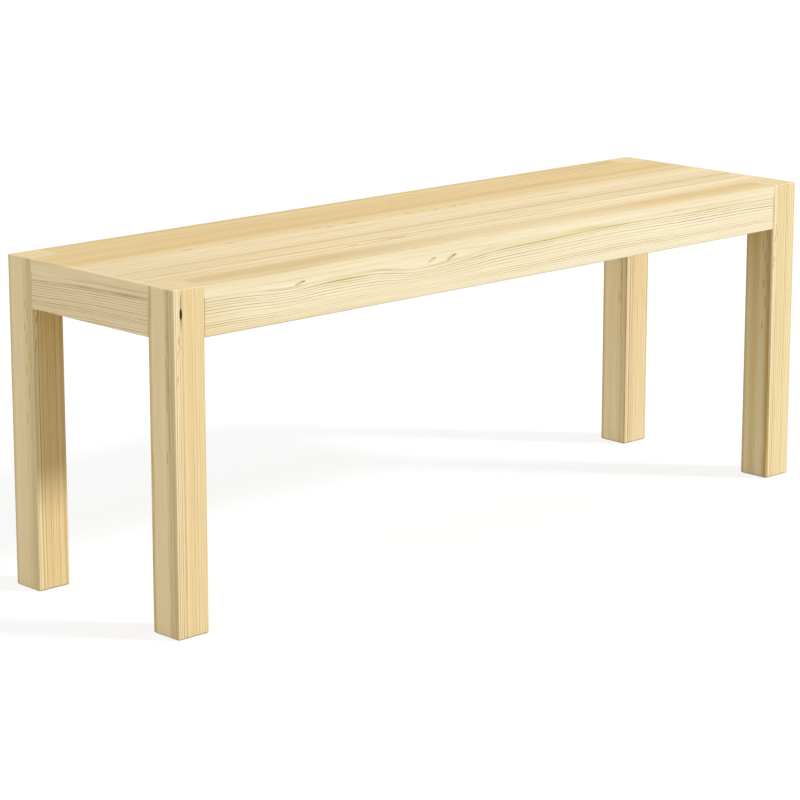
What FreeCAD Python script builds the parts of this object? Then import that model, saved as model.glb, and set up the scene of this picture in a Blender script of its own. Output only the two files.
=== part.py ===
import FreeCAD, Part
import math
import os

os.makedirs("parts", exist_ok=True)

# A solid pine bench. +X is the bench's right, the front is at -Y, +Z is up,
# and the origin is on the floor under the middle of the seat. Millimetres.

# Overall sizes
LENGTH = 1200.0
DEPTH = 340.0
HEIGHT = 450.0

# Timber sections
LEG_WIDTH = 50.0
SEAT_THICKNESS = 16.0
RAIL_HEIGHT = 50.0
RAIL_THICKNESS = 20.0
END_LIP = 8.0                # end rail left standing in front of the seat's end grain
WIDE_STAVES = 3              # full-length staves between the lines of the legs
BATTEN_SIZE = 20.0
BEARER_WIDTH = 40.0
BEARER_HEIGHT = 30.0
BEARER_SPACING = 300.0
BLOCK_THICKNESS = 25.0
BLOCK_HEIGHT = 42.0
LEG_FLAT_CUT = 10.0          # how far the leg's inner corner is cut back for its block

# Eased edges
ARRIS = 1.5                  # radius along the legs, rails and seat
FOOT_CHAMFER = 2.5
RAIL_END_EASE = 0.8

# Fits between wood and wood
LAP_CLEARANCE = 0.1
BATTEN_END_CLEARANCE = 0.5
BATTEN_SCREW_INSET = 40.0    # from a batten's end to its last screw

# Stub tenons on the rails' ends, and the mortises in the legs that take them
TENON_LENGTH = 14.0
TENON_THICKNESS = 10.0
TENON_SHOULDER = 8.0         # rail left above and below the tenon
MORTISE_CLEARANCE = 0.1
MORTISE_END_ROOM = 1.0

# Hanger bolts, with their washers and nuts
BOLT_DIAMETER = 8.0
BOLT_DEPTH_IN_LEG = 32.0
BOLT_POINT = 6.0
BOLT_CLEARANCE = 0.5
BOLT_GRIP_CLEARANCE = 0.05
BOLT_PAST_NUT = 4.0
WASHER_DIAMETER = 18.0
WASHER_THICKNESS = 1.6
NUT_ACROSS_FLATS = 13.0
NUT_HEIGHT = 6.5

# Wood screws, all of one thickness and of several lengths
SCREW_DIAMETER = 4.0
SCREW_HEAD_DIAMETER = 8.0
SCREW_HEAD_HEIGHT = 2.4
SCREW_POINT = 4.0
SCREW_POINT_DIAMETER = 1.0
SCREW_SIDES = 8              # flat sides, because there are many screws
SCREW_CLEARANCE = 0.05
SCREW_POCKET_CLEARANCE = 0.6
SEAT_BITE = 10.0             # how far a screw reaches into the seat
RAIL_BITE = 13.0             # how far a screw reaches into a rail
BLOCK_SCREW_SEAT = 9.0       # wood left between a block screw's head and the rail
BLOCK_SCREW_SPACING = 22.0

# Places that follow from the sizes above
SEAT_UNDERSIDE = HEIGHT - SEAT_THICKNESS
RAIL_BOTTOM = SEAT_UNDERSIDE - RAIL_HEIGHT
TENON_BOTTOM = RAIL_BOTTOM + TENON_SHOULDER
TENON_TOP = SEAT_UNDERSIDE - TENON_SHOULDER
TENON_INSET = (RAIL_THICKNESS - TENON_THICKNESS) / 2
TOP_ARRIS = 0.8 * ARRIS
LEFT = -LENGTH / 2
FRONT = -DEPTH / 2
LEG_INSIDE_X = LEFT + LEG_WIDTH
LEG_INSIDE_Y = FRONT + LEG_WIDTH
RAIL_INSIDE_X = LEFT + RAIL_THICKNESS
RAIL_INSIDE_Y = FRONT + RAIL_THICKNESS
BLOCK_BOTTOM = SEAT_UNDERSIDE - BLOCK_HEIGHT
BLOCK_MIDDLE = SEAT_UNDERSIDE - BLOCK_HEIGHT / 2
BATTEN_MIDDLE_Y = RAIL_INSIDE_Y + BATTEN_SIZE / 2
BATTEN_BOTTOM = SEAT_UNDERSIDE - BATTEN_SIZE
LAP_LEVEL = SEAT_UNDERSIDE - BATTEN_SIZE / 2

# A corner block lies between two upright planes, square to the corner's diagonal.
# Each is given by its distance from the outer corner along a side of the bench.
BLOCK_LEG_SIDE = 2 * LEG_WIDTH - LEG_FLAT_CUT
BLOCK_FREE_SIDE = BLOCK_LEG_SIDE + BLOCK_THICKNESS * math.sqrt(2)
BLOCK_REACH = BLOCK_FREE_SIDE - RAIL_THICKNESS
BLOCK_NEAR = BLOCK_LEG_SIDE - RAIL_THICKNESS
BATTEN_END = LEFT + BLOCK_REACH + BATTEN_END_CLEARANCE

BEARER_PLACES = {"left": -BEARER_SPACING, "middle": 0.0, "right": BEARER_SPACING}
BATTEN_LAST_SCREW = BATTEN_END + BATTEN_SCREW_INSET
RAIL_SCREW_PLACES = [BATTEN_LAST_SCREW, -BEARER_SPACING / 2, BEARER_SPACING / 2, -BATTEN_LAST_SCREW]

UP = FreeCAD.Vector(0, 0, 1)
ALONG_X = FreeCAD.Vector(1, 0, 0)
ALONG_Y = FreeCAD.Vector(0, 1, 0)
INTO_CORNER = FreeCAD.Vector(-1, -1, 0).normalize()
CENTRE = FreeCAD.Vector(0, 0, 0)


def box(low, high):
    """A block of wood from its lowest corner to its highest."""
    size = FreeCAD.Vector(*high) - FreeCAD.Vector(*low)
    return Part.makeBox(size.x, size.y, size.z, FreeCAD.Vector(*low))


def prism(points, rise):
    """A flat outline of straight sides, carried along the vector rise."""
    return Part.Face(Part.makePolygon(points + points[:1])).extrude(rise)


def eased_bar(low, high, run, rounded):
    """A bar from low to high that runs along one axis, with some long edges rounded.

    Each entry of rounded is an edge's place on the two other axes, as -1 or 1 for its side.
    """
    bar = box(low, high)
    axes = [axis for axis in range(3) if axis != run]
    limits = {-1: low, 1: high}
    picked = []
    for edge in bar.Edges:
        middle = edge.CenterOfMass
        for sides in rounded:
            gaps = [abs(middle[axis] - limits[side][axis]) for axis, side in zip(axes, sides)]
            if max(gaps) < ARRIS / 10:
                picked.append(edge)
    return bar.makeFillet(ARRIS, picked)


def turned(profile):
    """A solid of revolution about Z, from (radius, height) points."""
    points = [FreeCAD.Vector(radius, 0, height) for radius, height in profile]
    return Part.Face(Part.makePolygon(points + points[:1])).revolve(CENTRE, UP, 360)


def set_along(shape, start, direction):
    """Move a shape made along +Z so that it starts at a point and runs along a direction."""
    moved = shape.copy()
    moved.Placement = FreeCAD.Placement(start, FreeCAD.Rotation(UP, direction))
    return moved


def across(shape):
    """The same shape on the bench's other end."""
    return shape.mirror(CENTRE, ALONG_X)


def behind(shape):
    """The same shape on the bench's other long side."""
    return shape.mirror(CENTRE, ALONG_Y)


def at_ends(shapes):
    """Shapes at the left end, with their mirror images at the right."""
    return shapes + [across(shape) for shape in shapes]


def at_sides(shapes):
    """Shapes on the front side, with their mirror images at the back."""
    return shapes + [behind(shape) for shape in shapes]


def many_sided(profile, sides):
    """A solid about Z with a few flat sides, from (radius, height) points at its corners."""
    turns = [2 * math.pi * step / sides for step in range(sides)]
    rings = [[FreeCAD.Vector(radius * math.cos(turn), radius * math.sin(turn), height) for turn in turns]
             for radius, height in profile]
    outlines = [rings[0], rings[-1]]
    for lower, upper in zip(rings, rings[1:]):
        for step in range(sides):
            after = (step + 1) % sides
            outlines.append([lower[step], lower[after], upper[after], upper[step]])
    faces = [Part.Face(Part.makePolygon(outline + outline[:1])) for outline in outlines]
    return Part.makeSolid(Part.makeShell(faces))


def screw(length, extra=0.0):
    """A countersunk screw driven along +Z with its head at the origin, or the hole for it."""
    head = SCREW_HEAD_DIAMETER / 2 + extra
    shank = SCREW_DIAMETER / 2 + extra
    point = SCREW_POINT_DIAMETER / 2 + extra
    neck = SCREW_HEAD_HEIGHT + extra
    tip = length + extra
    return many_sided([(head, 0), (shank, neck), (shank, tip - SCREW_POINT), (point, tip)], SCREW_SIDES)


def screw_pocket(depth):
    """The open pocket above a screw's head, against the way it is driven."""
    radius = SCREW_HEAD_DIAMETER / 2 + SCREW_POCKET_CLEARANCE
    return many_sided([(radius, -depth), (radius, 0)], SCREW_SIDES)


# Fasteners, each as the places where it starts and the way it runs

BLOCK_SCREW_LENGTH = BLOCK_SCREW_SEAT + RAIL_BITE
BLOCK_SCREW_PLACE = (BLOCK_NEAR + BLOCK_REACH) / 2
BLOCK_SCREW_LEVELS = [BLOCK_MIDDLE - BLOCK_SCREW_SPACING / 2, BLOCK_MIDDLE + BLOCK_SCREW_SPACING / 2]
LONG_RAIL_BLOCK_SCREWS = [
    (FreeCAD.Vector(LEFT + BLOCK_SCREW_PLACE, RAIL_INSIDE_Y + BLOCK_SCREW_SEAT, level), -ALONG_Y)
    for level in BLOCK_SCREW_LEVELS]
END_RAIL_BLOCK_SCREWS = [
    (FreeCAD.Vector(RAIL_INSIDE_X + BLOCK_SCREW_SEAT, FRONT + BLOCK_SCREW_PLACE, level), -ALONG_X)
    for level in BLOCK_SCREW_LEVELS]

BATTEN_RAIL_SCREW_LENGTH = BATTEN_SIZE + RAIL_BITE
BATTEN_RAIL_SCREWS = [
    (FreeCAD.Vector(place, RAIL_INSIDE_Y + BATTEN_SIZE, LAP_LEVEL), -ALONG_Y)
    for place in RAIL_SCREW_PLACES]

BATTEN_SEAT_SCREW_LENGTH = BATTEN_SIZE + SEAT_BITE
BATTEN_SEAT_SCREWS = [
    (FreeCAD.Vector(place, BATTEN_MIDDLE_Y, BATTEN_BOTTOM), UP)
    for place in BEARER_PLACES.values()]

WIDE_STAVE_WIDTH = (DEPTH - 2 * LEG_WIDTH) / WIDE_STAVES
WIDE_STAVE_EDGES = [LEG_INSIDE_Y + step * WIDE_STAVE_WIDTH for step in range(WIDE_STAVES)]
BEARER_SCREW_LENGTH = BEARER_HEIGHT + SEAT_BITE
BEARER_SCREWS = [
    (FreeCAD.Vector(place, edge + WIDE_STAVE_WIDTH / 2, SEAT_UNDERSIDE - BEARER_HEIGHT), UP)
    for place in BEARER_PLACES.values() for edge in WIDE_STAVE_EDGES]


def spread(shape, places):
    """Copies of a shape at a list of places."""
    return [set_along(shape, start, direction) for start, direction in places]


BLOCK_SCREW_HOLE = screw(BLOCK_SCREW_LENGTH, SCREW_CLEARANCE)
LONG_RAIL_BLOCK_HOLES = spread(BLOCK_SCREW_HOLE, LONG_RAIL_BLOCK_SCREWS)
END_RAIL_BLOCK_HOLES = spread(BLOCK_SCREW_HOLE, END_RAIL_BLOCK_SCREWS)
BATTEN_RAIL_HOLES = spread(screw(BATTEN_RAIL_SCREW_LENGTH, SCREW_CLEARANCE), BATTEN_RAIL_SCREWS)
BATTEN_SEAT_HOLES = spread(screw(BATTEN_SEAT_SCREW_LENGTH, SCREW_CLEARANCE), BATTEN_SEAT_SCREWS)
BEARER_HOLES = spread(screw(BEARER_SCREW_LENGTH, SCREW_CLEARANCE), BEARER_SCREWS)


# The bolt's line runs along the corner's diagonal, from the block's free side into the leg

def on_diagonal(reach):
    """The point on the front left corner's diagonal where an upright plane of that reach crosses it."""
    return FreeCAD.Vector(LEFT + reach / 2, FRONT + reach / 2, BLOCK_MIDDLE)


BOLT_STAND = WASHER_THICKNESS + NUT_HEIGHT + BOLT_PAST_NUT
BOLT_START = on_diagonal(BLOCK_FREE_SIDE) - INTO_CORNER * BOLT_STAND
BOLT_LENGTH = BOLT_STAND + BLOCK_THICKNESS + BOLT_DEPTH_IN_LEG


def long_rail_tenon(extra=0.0, end_room=0.0):
    """The tenon on the front rail's left end, or with allowances the mortise for it."""
    near = FRONT + TENON_INSET - extra
    far = FRONT + TENON_INSET + TENON_THICKNESS + extra
    return box((LEG_INSIDE_X - TENON_LENGTH - end_room, near, TENON_BOTTOM - extra),
               (LEG_INSIDE_X, far, TENON_TOP + extra))


def end_rail_tenon(extra=0.0, end_room=0.0):
    """The tenon on the left end rail's front end, or with allowances the mortise for it."""
    near = LEFT + TENON_INSET - extra
    far = LEFT + TENON_INSET + TENON_THICKNESS + extra
    return box((near, LEG_INSIDE_Y - TENON_LENGTH - end_room, TENON_BOTTOM - extra),
               (far, LEG_INSIDE_Y, TENON_TOP + extra))


def leg():
    """The front left leg: eased edges, chamfered foot, two mortises and the flat that meets the block."""
    corner = (LEFT, FRONT)
    inner = (LEG_INSIDE_X, LEG_INSIDE_Y)
    post = eased_bar((*corner, 0), (*inner, SEAT_UNDERSIDE), 2, [(-1, -1), (-1, 1), (1, -1), (1, 1)])
    head = eased_bar((*corner, SEAT_UNDERSIDE), (*inner, HEIGHT), 2, [(-1, -1)])
    outer_top = [edge for edge in head.Edges
                 if edge.BoundBox.ZMin > HEIGHT - ARRIS / 2
                 and (edge.BoundBox.XMax < LEFT + 2 * ARRIS or edge.BoundBox.YMax < FRONT + 2 * ARRIS)]
    head = head.makeFillet(TOP_ARRIS, outer_top)
    whole = post.fuse(head).removeSplitter()
    mortises = [long_rail_tenon(MORTISE_CLEARANCE, MORTISE_END_ROOM),
                end_rail_tenon(MORTISE_CLEARANCE, MORTISE_END_ROOM)]
    return whole.cut(foot_wedges() + [leg_flat(), bolt_hole()] + mortises)


def foot_wedges():
    """Four three-sided bars that take the sharp edges off the foot."""
    raised = UP * FOOT_CHAMFER
    wedges = []
    for x, way in ((LEFT, 1), (LEG_INSIDE_X, -1)):
        edge = FreeCAD.Vector(x, FRONT, 0)
        side = [edge, edge + ALONG_X * way * FOOT_CHAMFER, edge + raised]
        wedges.append(prism(side, ALONG_Y * LEG_WIDTH))
    for y, way in ((FRONT, 1), (LEG_INSIDE_Y, -1)):
        edge = FreeCAD.Vector(LEFT, y, 0)
        side = [edge, edge + ALONG_Y * way * FOOT_CHAMFER, edge + raised]
        wedges.append(prism(side, ALONG_X * LEG_WIDTH))
    return wedges


def upright_slice(near, far, bottom):
    """The space between two upright planes across the front left corner, up to the seat."""
    points = [FreeCAD.Vector(LEFT + near, FRONT, bottom), FreeCAD.Vector(LEFT + far, FRONT, bottom),
              FreeCAD.Vector(LEFT, FRONT + far, bottom), FreeCAD.Vector(LEFT, FRONT + near, bottom)]
    return prism(points, UP * (SEAT_UNDERSIDE - bottom))


def leg_flat():
    """The piece cut from the leg's inner corner, as high as the block that bears on it."""
    return upright_slice(BLOCK_LEG_SIDE, BLOCK_FREE_SIDE, BLOCK_BOTTOM)


def corner_block():
    """The block across the front left corner, with a bolt hole and a pocket for each screw."""
    inside = box((RAIL_INSIDE_X, RAIL_INSIDE_Y, BLOCK_BOTTOM), (0, 0, SEAT_UNDERSIDE))
    block = upright_slice(BLOCK_LEG_SIDE, BLOCK_FREE_SIDE, BLOCK_BOTTOM).common(inside)
    screws = LONG_RAIL_BLOCK_SCREWS + END_RAIL_BLOCK_SCREWS
    pockets = spread(screw_pocket(BLOCK_THICKNESS), screws)
    through = Part.makeCylinder(BOLT_DIAMETER / 2 + BOLT_CLEARANCE, BOLT_LENGTH)
    return block.cut(LONG_RAIL_BLOCK_HOLES + END_RAIL_BLOCK_HOLES + pockets
                     + [set_along(through, BOLT_START, INTO_CORNER)])


def bolt_form(extra=0.0):
    """A headless bolt along +Z, pointed where it enters the leg, or the hole for it."""
    radius = BOLT_DIAMETER / 2 + extra
    length = BOLT_LENGTH + extra * 4
    return turned([(0, 0), (radius, 0), (radius, length - BOLT_POINT), (0, length)])


def bolt_hole():
    """The hole that the bolt's wood thread fills in the leg."""
    return set_along(bolt_form(BOLT_GRIP_CLEARANCE), BOLT_START, INTO_CORNER)


def hanger_bolt():
    """The bolt of the front left corner."""
    return set_along(bolt_form(), BOLT_START, INTO_CORNER)


def bolt_washer():
    """The washer of the front left corner, flat on its block."""
    disc = Part.makeCylinder(WASHER_DIAMETER / 2, WASHER_THICKNESS)
    disc = disc.cut(Part.makeCylinder(BOLT_DIAMETER / 2 + BOLT_CLEARANCE, WASHER_THICKNESS))
    return set_along(disc, on_diagonal(BLOCK_FREE_SIDE) - INTO_CORNER * WASHER_THICKNESS, INTO_CORNER)


def bolt_nut():
    """The six-sided nut of the front left corner, flat on its washer."""
    corner_radius = NUT_ACROSS_FLATS / math.sqrt(3)
    corners = [FreeCAD.Vector(corner_radius * math.cos(turn * math.pi / 3),
                              corner_radius * math.sin(turn * math.pi / 3), 0) for turn in range(6)]
    nut = prism(corners, UP * NUT_HEIGHT)
    nut = nut.cut(Part.makeCylinder(BOLT_DIAMETER / 2 + BOLT_GRIP_CLEARANCE, NUT_HEIGHT))
    stand = WASHER_THICKNESS + NUT_HEIGHT
    return set_along(nut, on_diagonal(BLOCK_FREE_SIDE) - INTO_CORNER * stand, INTO_CORNER)


def rail_end_wedge(x, y, along_x, along_y):
    """A three-sided bar that eases the outer upright edge at a rail's end."""
    points = [FreeCAD.Vector(x, y, RAIL_BOTTOM),
              FreeCAD.Vector(x + along_x * RAIL_END_EASE, y, RAIL_BOTTOM),
              FreeCAD.Vector(x, y + along_y * RAIL_END_EASE, RAIL_BOTTOM)]
    return prism(points, UP * RAIL_HEIGHT)


def long_rail():
    """The front rail, which the seat lies on, with a stub tenon at each end."""
    rail = eased_bar((LEG_INSIDE_X, FRONT, RAIL_BOTTOM), (-LEG_INSIDE_X, RAIL_INSIDE_Y, SEAT_UNDERSIDE),
                     0, [(-1, -1), (1, -1)])
    wedge = rail_end_wedge(LEG_INSIDE_X, FRONT, 1, 1)
    rail = rail.cut(at_ends([wedge] + LONG_RAIL_BLOCK_HOLES) + BATTEN_RAIL_HOLES)
    return rail.fuse(at_ends([long_rail_tenon()])).removeSplitter()


def end_rail():
    """The left end rail, with two stub tenons and a rebate for the ends of the seat's wide staves."""
    rail = eased_bar((LEFT, LEG_INSIDE_Y, RAIL_BOTTOM), (RAIL_INSIDE_X, -LEG_INSIDE_Y, HEIGHT),
                     1, [(-1, -1), (1, -1), (-1, 1)])
    rebate = box((LEFT + END_LIP, LEG_INSIDE_Y, SEAT_UNDERSIDE), (RAIL_INSIDE_X, -LEG_INSIDE_Y, HEIGHT))
    wedge = rail_end_wedge(LEFT, LEG_INSIDE_Y, 1, 1)
    rail = rail.cut(at_sides([wedge] + END_RAIL_BLOCK_HOLES) + [rebate])
    return rail.fuse(at_sides([end_rail_tenon()])).removeSplitter()


def edge_stave():
    """The stave along the seat's front edge, between the legs and as wide as they are."""
    low = (LEG_INSIDE_X, FRONT, SEAT_UNDERSIDE)
    high = (-LEG_INSIDE_X, LEG_INSIDE_Y, HEIGHT)
    return eased_bar(low, high, 0, [(-1, 1)]).cut(BATTEN_SEAT_HOLES)


def wide_stave(front_edge):
    """A stave that runs the whole length of the seat, between the lips of the end rails."""
    end = LEFT + END_LIP
    stave = box((end, front_edge, SEAT_UNDERSIDE), (-end, front_edge + WIDE_STAVE_WIDTH, HEIGHT))
    return stave.cut(BEARER_HOLES)


def batten():
    """The batten inside the front rail, with a half-lap for each bearer."""
    free_side = RAIL_INSIDE_Y + BATTEN_SIZE
    strip = box((BATTEN_END, RAIL_INSIDE_Y, BATTEN_BOTTOM), (-BATTEN_END, free_side, SEAT_UNDERSIDE))
    half = BEARER_WIDTH / 2 + LAP_CLEARANCE
    laps = [box((place - half, RAIL_INSIDE_Y, LAP_LEVEL), (place + half, free_side, SEAT_UNDERSIDE))
            for place in BEARER_PLACES.values()]
    return strip.cut(laps + BATTEN_RAIL_HOLES + BATTEN_SEAT_HOLES)


def bearer(place):
    """A bearer under the seat, its two ends cut away below to lap over the battens."""
    half = BEARER_WIDTH / 2
    bottom = SEAT_UNDERSIDE - BEARER_HEIGHT
    strip = box((place - half, RAIL_INSIDE_Y, bottom), (place + half, -RAIL_INSIDE_Y, SEAT_UNDERSIDE))
    lap_end = RAIL_INSIDE_Y + BATTEN_SIZE + LAP_CLEARANCE
    lap = box((place - half, RAIL_INSIDE_Y, bottom), (place + half, lap_end, LAP_LEVEL))
    return strip.cut(at_sides([lap] + BATTEN_SEAT_HOLES) + BEARER_HOLES)


def group(shapes):
    """Identical small pieces kept together as one node of separate solids."""
    return Part.makeCompound(shapes)


def at_corners(shapes):
    """Shapes of the front left corner, with their mirror images at the other three."""
    return at_sides(at_ends(shapes))


nodes = {}
corner_names = ["front_left", "front_right", "back_left", "back_right"]
for name, shape in zip(corner_names, at_corners([leg()])):
    nodes["leg_" + name] = shape
for name, shape in zip(corner_names, at_corners([corner_block()])):
    nodes["corner_block_" + name] = shape
for name, shape in zip(["front", "back"], at_sides([long_rail()])):
    nodes["rail_" + name] = shape
for name, shape in zip(["left_end", "right_end"], at_ends([end_rail()])):
    nodes["rail_" + name] = shape
for name, shape in zip(["front", "back"], at_sides([edge_stave()])):
    nodes["seat_edge_stave_" + name] = shape
for number, edge in enumerate(WIDE_STAVE_EDGES, start=1):
    nodes["seat_wide_stave_%d" % number] = wide_stave(edge)
for name, shape in zip(["front", "back"], at_sides([batten()])):
    nodes["batten_" + name] = shape
for name, place in BEARER_PLACES.items():
    nodes["bearer_" + name] = bearer(place)

nodes["hanger_bolts"] = group(at_corners([hanger_bolt()]))
nodes["bolt_washers"] = group(at_corners([bolt_washer()]))
nodes["bolt_nuts"] = group(at_corners([bolt_nut()]))
block_screws = spread(screw(BLOCK_SCREW_LENGTH), LONG_RAIL_BLOCK_SCREWS + END_RAIL_BLOCK_SCREWS)
nodes["corner_block_screws"] = group(at_corners(block_screws))
nodes["batten_rail_screws"] = group(at_sides(spread(screw(BATTEN_RAIL_SCREW_LENGTH), BATTEN_RAIL_SCREWS)))
nodes["batten_seat_screws"] = group(at_sides(spread(screw(BATTEN_SEAT_SCREW_LENGTH), BATTEN_SEAT_SCREWS)))
nodes["bearer_screws"] = group(spread(screw(BEARER_SCREW_LENGTH), BEARER_SCREWS))

for name, shape in nodes.items():
    shape.exportStep("parts/%s.step" % name)
    print("%-26s solids %2d  valid %s" % (name, len(shape.Solids), shape.isValid()))
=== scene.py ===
import math

import bmesh
import bpy
import numpy as np
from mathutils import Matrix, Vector


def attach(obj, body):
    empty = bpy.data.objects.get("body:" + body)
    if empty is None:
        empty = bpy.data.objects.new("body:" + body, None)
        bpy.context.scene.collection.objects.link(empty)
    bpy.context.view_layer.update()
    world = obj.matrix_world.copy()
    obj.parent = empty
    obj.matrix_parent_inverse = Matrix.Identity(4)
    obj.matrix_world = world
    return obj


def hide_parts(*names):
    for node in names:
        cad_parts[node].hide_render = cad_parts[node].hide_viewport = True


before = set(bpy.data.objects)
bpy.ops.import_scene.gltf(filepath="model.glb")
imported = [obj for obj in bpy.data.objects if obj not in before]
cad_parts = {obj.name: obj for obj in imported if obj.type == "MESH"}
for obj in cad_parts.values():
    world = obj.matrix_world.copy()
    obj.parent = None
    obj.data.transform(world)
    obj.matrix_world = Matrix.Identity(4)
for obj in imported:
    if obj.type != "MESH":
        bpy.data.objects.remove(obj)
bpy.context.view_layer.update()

# A solid pine bench. +X is the bench's right, the front is at -Y, +Z is up, and the origin
# is on the floor under the middle of the seat. Sizes here are in millimetres; meshes are in metres.

MM = 0.001

# Sizes of the bench that the figure of the wood and the fasteners follow
LENGTH = 1200.0
DEPTH = 340.0
HEIGHT = 450.0
LEG_WIDTH = 50.0
LEG_FLAT_CUT = 10.0
SEAT_THICKNESS = 16.0
WIDE_STAVES = 3
WIDE_STAVE_WIDTH = 80.0
RAIL_HEIGHT = 50.0
RAIL_THICKNESS = 20.0
BATTEN_SIZE = 20.0
BEARER_HEIGHT = 30.0
BEARER_SPACING = 300.0
BLOCK_THICKNESS = 25.0
BLOCK_HEIGHT = 42.0

LEFT = -LENGTH / 2
RIGHT = LENGTH / 2
FRONT = -DEPTH / 2
BACK = DEPTH / 2
SEAT_UNDERSIDE = HEIGHT - SEAT_THICKNESS
RAIL_BOTTOM = SEAT_UNDERSIDE - RAIL_HEIGHT
RAIL_INSIDE_X = LEFT + RAIL_THICKNESS
RAIL_INSIDE_Y = FRONT + RAIL_THICKNESS
LEG_INSIDE_Y = FRONT + LEG_WIDTH
BEARER_PLACES = (-BEARER_SPACING, 0.0, BEARER_SPACING)

# Fasteners
SCREW_RADIUS = 1.82            # over the thread
SCREW_CORE = 1.3
SCREW_PITCH = 1.8
SCREW_HEAD_RADIUS = 3.66
SCREW_HEAD_HEIGHT = 2.4
SCREW_POINT = 5.0
SCREW_RUN_IN = 4.0             # below the head, where the thread grows to its full height
CROSS_DEPTH = 1.5
CROSS_ARM = 2.3
CROSS_HALF_WIDTH = 0.55
SEAT_BITE = 10.0               # how far a screw goes into the seat
RAIL_BITE = 13.0               # and into a rail
BLOCK_SCREW_SEAT = 9.0         # from the rail to the screw's head
BLOCK_SCREW_SPACING = 22.0
BATTEN_SCREW_INSET = 40.0
BATTEN_END_CLEARANCE = 0.5
BOLT_RADIUS = 4.0
BOLT_THREAD_DEPTH = 0.6
BOLT_PITCH = 1.25
BOLT_DEPTH_IN_LEG = 32.0
BOLT_POINT = 6.0
BOLT_PAST_NUT = 4.0
BOLT_CHAMFER = 0.8             # length of the bevel at the blunt end
BOLT_END_SHARE = 0.75          # how much of the radius the bevel leaves
WASHER_RADIUS = 9.0
WASHER_BORE = 4.5
WASHER_THICKNESS = 1.6
WASHER_BORE_BREAK = 0.2        # bevel at the bore
WASHER_ROUND_WIDTH = 0.4       # bevel at the rim, left by stamping
WASHER_ROUND_DROP = 0.35
NUT_ACROSS_FLATS = 13.0
NUT_HEIGHT = 6.5
NUT_CLEARANCE = 0.05           # around the bolt
NUT_MOUTH = 0.5                # bevel at both ends of the bore
NUT_LAND_SHARE = 0.97          # radius of the flat ring on each face, as a share of the distance to a flat
NUT_CHAMFER = math.radians(30)

# Fineness of the fasteners' meshes
SCREW_SIDES = 40
SCREW_HEAD_RINGS = 15
BOLT_SIDES = 32
NUT_SIDES = 96
WASHER_SIDES = 72
RINGS_PER_TURN = 5             # along a thread, in each pitch
SAME_PLACE = 0.002 * MM        # points closer than this are one
SHARP_EDGE = math.radians(35)  # faces that turn by more than this meet in a sharp edge

X_AXIS = 0
Y_AXIS = 1
Z_AXIS = 2


def linear(colour):
    """A colour written as sRGB hex, turned to linear red, green, blue and alpha."""
    shares = [int(colour[place:place + 2], 16) / 255 for place in (0, 2, 4)]
    curved = [share / 12.92 if share <= 0.04045 else ((share + 0.055) / 1.055) ** 2.4 for share in shares]
    return curved + [1.0]


def add(tree, kind, inputs=None, **settings):
    """Add one node, set its properties, and feed each input with a value or another node's output."""
    made = tree.nodes.new("ShaderNode" + kind)
    for name, value in settings.items():
        setattr(made, name, value)
    for name, value in (inputs or {}).items():
        if isinstance(value, bpy.types.NodeSocket):
            tree.links.new(value, made.inputs[name])
        else:
            made.inputs[name].default_value = value
    return made.outputs


def new_material(name):
    """An empty surface material, with its node tree and its shader."""
    material = bpy.data.materials.new(name)
    material.use_nodes = True
    return material, material.node_tree, material.node_tree.nodes["Principled BSDF"]


# Pine

# Unevenness in the wood, each as its length along the grain and its width across it, with its detail
PINE_CLOUDS = {
    "wander": (900, 220, 1),     # slow bends of the trunk
    "ripple": (150, 45, 2),      # small waves in the growth rings
    "blush": (800, 22, 2),       # warm and pale stripes
    "fade": (260, 24, 2),        # growth rings that come and go
    "dash": (22, 1.6, 1),        # short gaps in the lines
    "fibre": (70, 1.3, 2),       # bundles of fibres, drawn coarser than they are so that they show
}
NOISE_MIDDLE = 0.5
NOISE_SPREAD = 0.25            # about how far noise strays from its middle

# What sets one board's wood apart from the next's
BOARD_SHIFT = (977, 31, 17)    # along the grain and across it
CROWDING_SHIFT = 3.7
YEAR_SHIFT = 13.0

# Growth rings: a ring's line darkens up to its peak, as a share of the year's growth, and then ends sharply
CROWDING_RATE = 0.21           # how fast narrow and wide rings take turns, for each ring
LINE_PEAK = 0.9
LINE_END = {"From Min": 0.92, "From Max": 1.0, "To Min": 1.0, "To Max": 0.0}
RING_VIGOUR = {"To Min": 0.25, "To Max": 1.1}

# What the noise does to the wood: the span of noise that counts, and the factor or share that it gives
LINE_FADE = {"From Min": 0.3, "From Max": 0.7, "To Min": 0.55, "To Max": 1.15}
LINE_GAPS = {"From Min": 0.3, "From Max": 0.7, "To Min": 0.65, "To Max": 1.2}
FIBRE_SHADE = {"From Min": 0.25, "From Max": 0.75, "To Min": 0.93, "To Max": 1.06}
WARM_STRIPES = {"From Min": 0.36, "From Max": 0.66}
STRIPE_SHARE = 0.5             # how far a warm stripe goes from the pale colour to the warm one

# End grain goes by how squarely a face looks along the grain, and the edge of a spot by the squared
# distance from its middle
END_GRAIN = {"From Min": 0.7, "From Max": 0.95, "To Min": 0.0, "To Max": 0.6}
SPOT_EDGE = {"From Min": 0.5, "From Max": 1.1, "To Min": 1.0, "To Max": 0.0}

# Surface: the hard lines stand a little proud and shine a little more, and knots lie a little low
LINE_RELIEF = 0.4
SPOT_RELIEF = -0.3
BUMP_STRENGTH = 0.5
BUMP_DEPTH = 0.15
PINE_ROUGHNESS = {"To Min": 0.68, "To Max": 0.55}
PINE_SPECULAR = 0.2

FALL = math.exp(-1)            # this to the power of a squared distance is a bell curve
FULL = 3000.0                  # longer than any board, for a stain that runs its whole length
NO_TURN = (0, 0, 0)


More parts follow.
